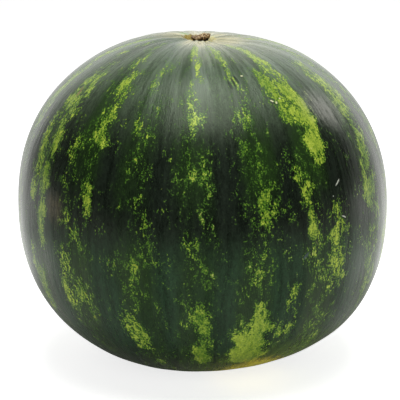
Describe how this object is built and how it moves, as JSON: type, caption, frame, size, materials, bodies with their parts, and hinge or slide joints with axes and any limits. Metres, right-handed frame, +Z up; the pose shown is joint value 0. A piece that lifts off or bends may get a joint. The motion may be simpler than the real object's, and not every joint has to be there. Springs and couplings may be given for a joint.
{
  "type": "watermelon",
  "caption": "Whole round striped watermelon with a dried stem stub in its crown, standing on its flattened blossom end.",
  "frame": {"origin": "on the surface that the fruit stands on, under the middle of the fruit", "axes": "+Z up from the blossom end to the stem; -Y towards the side shown in the picture, +X to its right"},
  "size_m": [0.2646, 0.2636, 0.2372],
  "materials": {
    "rind": "waxy smooth rind, dark green with mottled yellow-green stripes and a faint grey bloom",
    "dried_stem": "dry fibrous tan-brown stem tissue, matt, torn at the end"
  },
  "bodies": {
    "root": {"fruit": "rind", "stem_stub": "dried_stem"}
  },
  "joints": []
}
